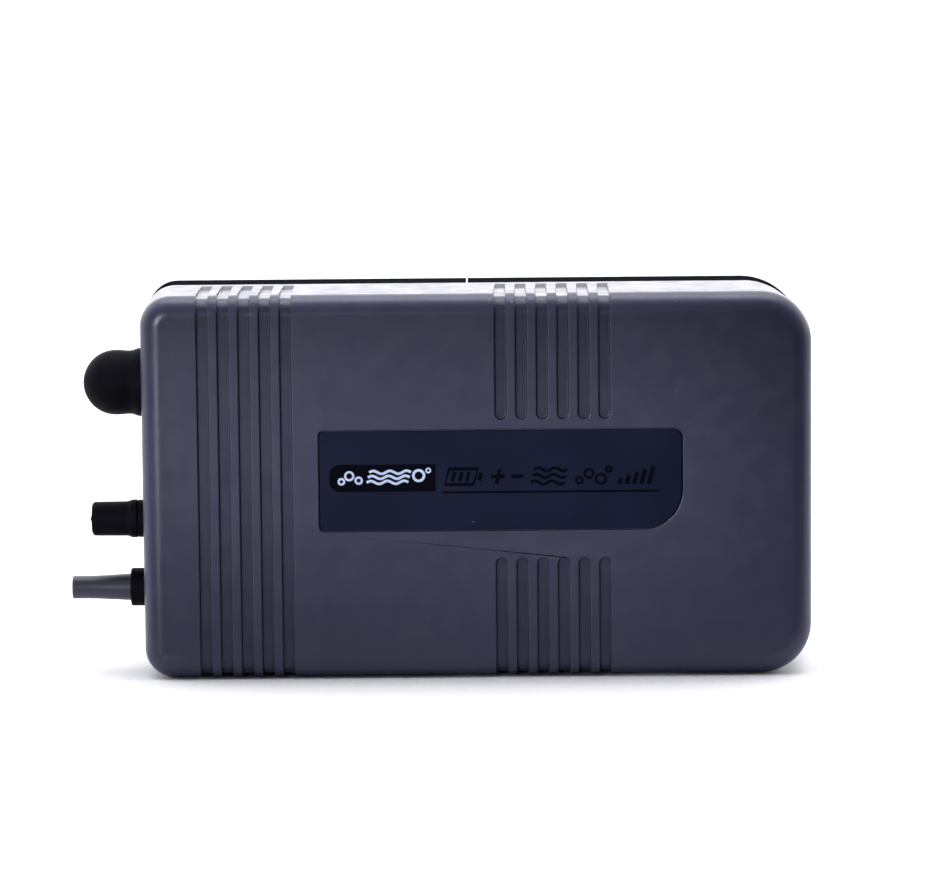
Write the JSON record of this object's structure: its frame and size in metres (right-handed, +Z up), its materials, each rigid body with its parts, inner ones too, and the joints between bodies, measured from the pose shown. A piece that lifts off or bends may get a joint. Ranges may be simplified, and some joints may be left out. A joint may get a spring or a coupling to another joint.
{
  "type": "battery air pump",
  "caption": "Portable battery aquarium air pump: grooved slate case on its long edge, black seal and back, domed push switch, capped spare outlet and tapered air nozzle.",
  "frame": {"origin": "centre of the base face, the long edge of the case that it stands on", "axes": "+X along the case's length, from the port end to the battery end; +Y from the front face to the back; +Z up"},
  "size_m": [0.1469, 0.039, 0.076],
  "materials": {
    "shell_plastic": "fine matte",
    "black_plastic": "matte",
    "black_rubber": "matte",
    "label_print": "satin",
    "nozzle_plastic": "satin",
    "frame_plastic": "matte",
    "head_plastic": "satin",
    "ivory_plastic": "satin",
    "white_plastic": "satin",
    "steel": "satin",
    "magnet": "matte",
    "bronze": "satin",
    "brass": "satin",
    "copper": "satin",
    "laminations": "satin",
    "felt": "matte",
    "battery_jacket": "satin",
    "red_insulation": "satin",
    "black_insulation": "satin"
  },
  "bodies": {
    "case": {"front_shell": "shell_plastic", "back_cover": "black_plastic", "case_gasket": "black_rubber", "cover_screws": "steel", "label_plate": "label_print", "hinge_pin": "steel", "inner_frame": "frame_plastic", "frame_screws": "steel", "motor_clamp": "steel", "clamp_screws": "steel", "motor_can": "steel", "motor_end_cap": "white_plastic", "motor_magnets": "magnet", "motor_brushes": "copper", "motor_terminals": "brass", "motor_bushes": "bronze", "diaphragm": "black_rubber", "diaphragm_ring": "head_plastic", "pump_head": "head_plastic", "valve_plate": "white_plastic", "head_cover": "head_plastic", "head_screws": "steel", "intake_filter": "felt", "outlet_manifold": "head_plastic", "outlet_nozzle": "nozzle_plastic", "nozzle_grommet": "black_rubber", "spare_nipple": "nozzle_plastic", "spare_grommet": "black_rubber", "switch_body": "black_plastic", "switch_spring": "steel", "switch_boot": "black_rubber", "switch_terminals": "brass", "battery_upper": "battery_jacket", "battery_lower": "battery_jacket", "negative_spring": "steel", "positive_contact": "steel", "bridge_contact": "steel", "bridge_spring": "steel", "red_wire": "red_insulation", "black_wire": "black_insulation", "switch_wire": "red_insulation"},
    "power_button": {"switch_plunger": "ivory_plastic"},
    "spare_cap": {"outlet_cap": "black_rubber"},
    "door": {"battery_door": "black_plastic"},
    "rotor": {"motor_shaft": "steel", "motor_armature": "laminations", "motor_windings": "copper", "commutator": "copper", "eccentric": "ivory_plastic"},
    "rod": {"connecting_rod": "ivory_plastic", "rod_bush": "bronze", "rod_stud": "steel"},
    "inlet_valve": {"inlet_flap": "black_rubber"},
    "outlet_valve": {"outlet_flap": "black_rubber"}
  },
  "joints": [
    {"name": "button_press", "type": "slide", "parent": "case", "child": "power_button", "axis": [1, 0, 0], "range_m": [0, 0.0025], "stiffness_N_per_m": 800, "springref_m": -0.0008, "deforming": ["switch_boot", "switch_spring"]},
    {"name": "cap_pull", "type": "slide", "parent": "case", "child": "spare_cap", "axis": [-1, 0, 0], "range_m": [0, 0.012]},
    {"name": "door_hinge", "type": "hinge", "parent": "case", "child": "door", "pos_m": [-0.0035, 0.0178, 0.038], "axis": [0, 0, 1], "range_deg": [0, 90]},
    {"name": "motor_spin", "type": "hinge", "parent": "case", "child": "rotor", "pos_m": [-0.0428, 0, 0.05], "axis": [1, 0, 0], "continuous": true, "deforming": ["diaphragm"]},
    {"name": "rod_swing", "type": "hinge", "parent": "rotor", "child": "rod", "pos_m": [-0.0428, 0, 0.05125], "axis": [1, 0, 0], "continuous": true},
    {"name": "inlet_valve_lift", "type": "hinge", "parent": "case", "child": "inlet_valve", "pos_m": [-0.0345, 0, 0.01331], "axis": [0, 1, 0], "range_deg": [0, 8], "stiffness_Nm_per_rad": 0.0001},
    {"name": "outlet_valve_drop", "type": "hinge", "parent": "case", "child": "outlet_valve", "pos_m": [-0.0511, 0, 0.01069], "axis": [0, 1, 0], "range_deg": [0, 8], "stiffness_Nm_per_rad": 0.0001}
  ],
  "couplings": [
    {"joint": "rod_swing", "follows": "motor_spin", "ratio": -1}
  ]
}
